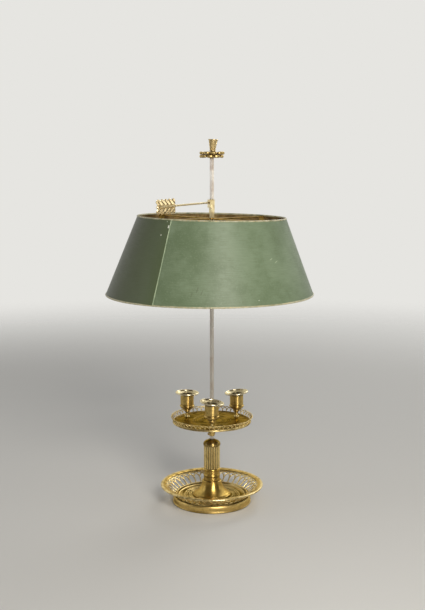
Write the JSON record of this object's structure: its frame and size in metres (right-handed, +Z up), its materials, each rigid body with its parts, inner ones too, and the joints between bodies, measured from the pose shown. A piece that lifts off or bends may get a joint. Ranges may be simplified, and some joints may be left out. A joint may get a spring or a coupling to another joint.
{
  "type": "bouillotte candle lamp",
  "caption": "Bouillotte candle lamp with a pierced basket foot, fluted column, square rod, sliding candle tray and painted conical shade held by an arrow screw.",
  "frame": {"origin": "centre of the foot on the table", "axes": "+Z up along the rod, -Y towards the front, +X to the viewer's right"},
  "size_m": [0.3672, 0.3672, 0.6499],
  "materials": {
    "turned_brass": "turned and lacquered, darkened with age",
    "gilt_brass": "cast, chased and gilt, worn pale on the edges",
    "spun_brass": "spun and polished",
    "aged_bronze": "dark aged bronze",
    "rod_steel": "drawn and polished",
    "shade_paint": "green paint over sheet steel, satin and worn"
  },
  "bodies": {
    "stand": {"foot_ring": "turned_brass", "base_dish": "turned_brass", "base_gallery": "gilt_brass", "base_lip": "gilt_brass", "base_washer": "rod_steel", "base_nut": "rod_steel", "pedestal": "turned_brass", "column_ring": "turned_brass", "column_shaft": "gilt_brass", "column_cap": "turned_brass", "centre_rod": "rod_steel", "finial_rosette": "gilt_brass", "finial_handle": "gilt_brass"},
    "tray": {"tray_plate": "turned_brass", "tray_gallery": "gilt_brass", "tray_collar": "turned_brass", "stem_front": "turned_brass", "stem_left": "turned_brass", "stem_right": "turned_brass", "socket_front": "turned_brass", "socket_left": "turned_brass", "socket_right": "turned_brass", "socket_nuts": "turned_brass"},
    "tray_screw_thrust": {"tray_screw_shank": "rod_steel"},
    "tray_screw_key": {"tray_screw_head": "turned_brass"},
    "pan_front_body": {"pan_front": "spun_brass"},
    "pan_left_body": {"pan_left": "spun_brass"},
    "pan_right_body": {"pan_right": "spun_brass"},
    "shade": {"shade_sheet": "shade_paint", "shade_top_wire": "gilt_brass", "shade_bottom_wire": "gilt_brass", "shade_spider": "turned_brass", "shade_rivets": "turned_brass", "shade_sleeve": "gilt_brass"},
    "arrow_thrust": {"arrow_screw": "aged_bronze"},
    "arrow_key": {"arrow_shaft": "gilt_brass", "arrow_feathers": "gilt_brass"}
  },
  "joints": [
    {"name": "tray_slide", "type": "slide", "parent": "stand", "child": "tray", "axis": [0, 0, 1], "range_m": [-0.006, 0.1]},
    {"name": "tray_screw_advance", "type": "slide", "parent": "tray", "child": "tray_screw_thrust", "axis": [-0.7071, -0.7071, 0], "range_m": [0, 0.001]},
    {"name": "tray_screw_turn", "type": "hinge", "parent": "tray_screw_thrust", "child": "tray_screw_key", "pos_m": [0, 0, 0.1266], "axis": [-0.7071, -0.7071, 0], "range_deg": [0, 721]},
    {"name": "pan_front_lift", "type": "slide", "parent": "tray", "child": "pan_front_body", "axis": [0, 0, 1], "range_m": [0, 0.03]},
    {"name": "pan_left_lift", "type": "slide", "parent": "tray", "child": "pan_left_body", "axis": [0, 0, 1], "range_m": [0, 0.03]},
    {"name": "pan_right_lift", "type": "slide", "parent": "tray", "child": "pan_right_body", "axis": [0, 0, 1], "range_m": [0, 0.03]},
    {"name": "shade_slide", "type": "slide", "parent": "stand", "child": "shade", "axis": [0, 0, 1], "range_m": [-0.16, 0.068]},
    {"name": "arrow_advance", "type": "slide", "parent": "shade", "child": "arrow_thrust", "axis": [-0.7071, -0.7071, 0], "range_m": [0, 0.001]},
    {"name": "arrow_turn", "type": "hinge", "parent": "arrow_thrust", "child": "arrow_key", "pos_m": [0, 0, 0.5406], "axis": [-0.7071, -0.7071, 0], "range_deg": [0, 721]}
  ],
  "couplings": [
    {"joint": "tray_screw_turn", "follows": "tray_screw_advance", "rad_per_m": 12566},
    {"joint": "arrow_turn", "follows": "arrow_advance", "rad_per_m": 12566}
  ]
}
